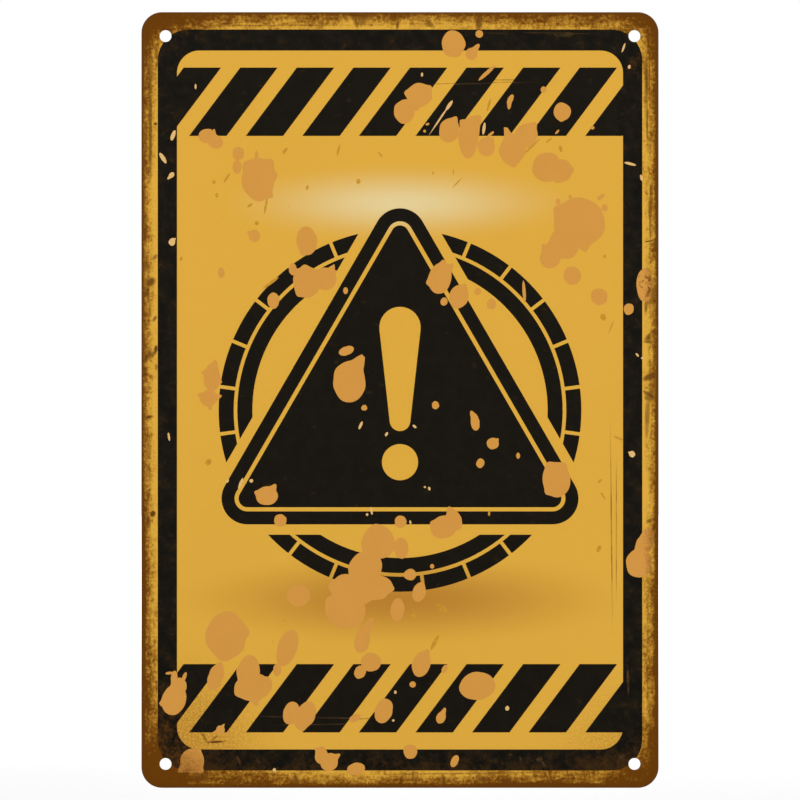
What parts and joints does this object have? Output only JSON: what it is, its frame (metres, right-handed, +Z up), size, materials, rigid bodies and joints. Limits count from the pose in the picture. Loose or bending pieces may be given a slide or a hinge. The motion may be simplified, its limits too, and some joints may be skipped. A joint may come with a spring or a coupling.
{
  "type": "metal warning sign",
  "caption": "Upright rectangular tinplate warning sign with a rolled and folded edge, corner fixing holes and a weathered yellow and black printed face with hazard stripes",
  "frame": {"origin": "centre of the four corner holes, on the printed face of the flat sheet", "axes": "+Z up along the sign's height, +X to the right along its width as seen from the front, printed face towards -Y, wall towards +Y"},
  "size_m": [0.2, 0.0028, 0.3],
  "materials": {
    "printed_tin": "weathered yellow enamel with black print, worn flakes and a browned rim"
  },
  "bodies": {
    "root": {"sign_sheet": "printed_tin"}
  },
  "joints": []
}
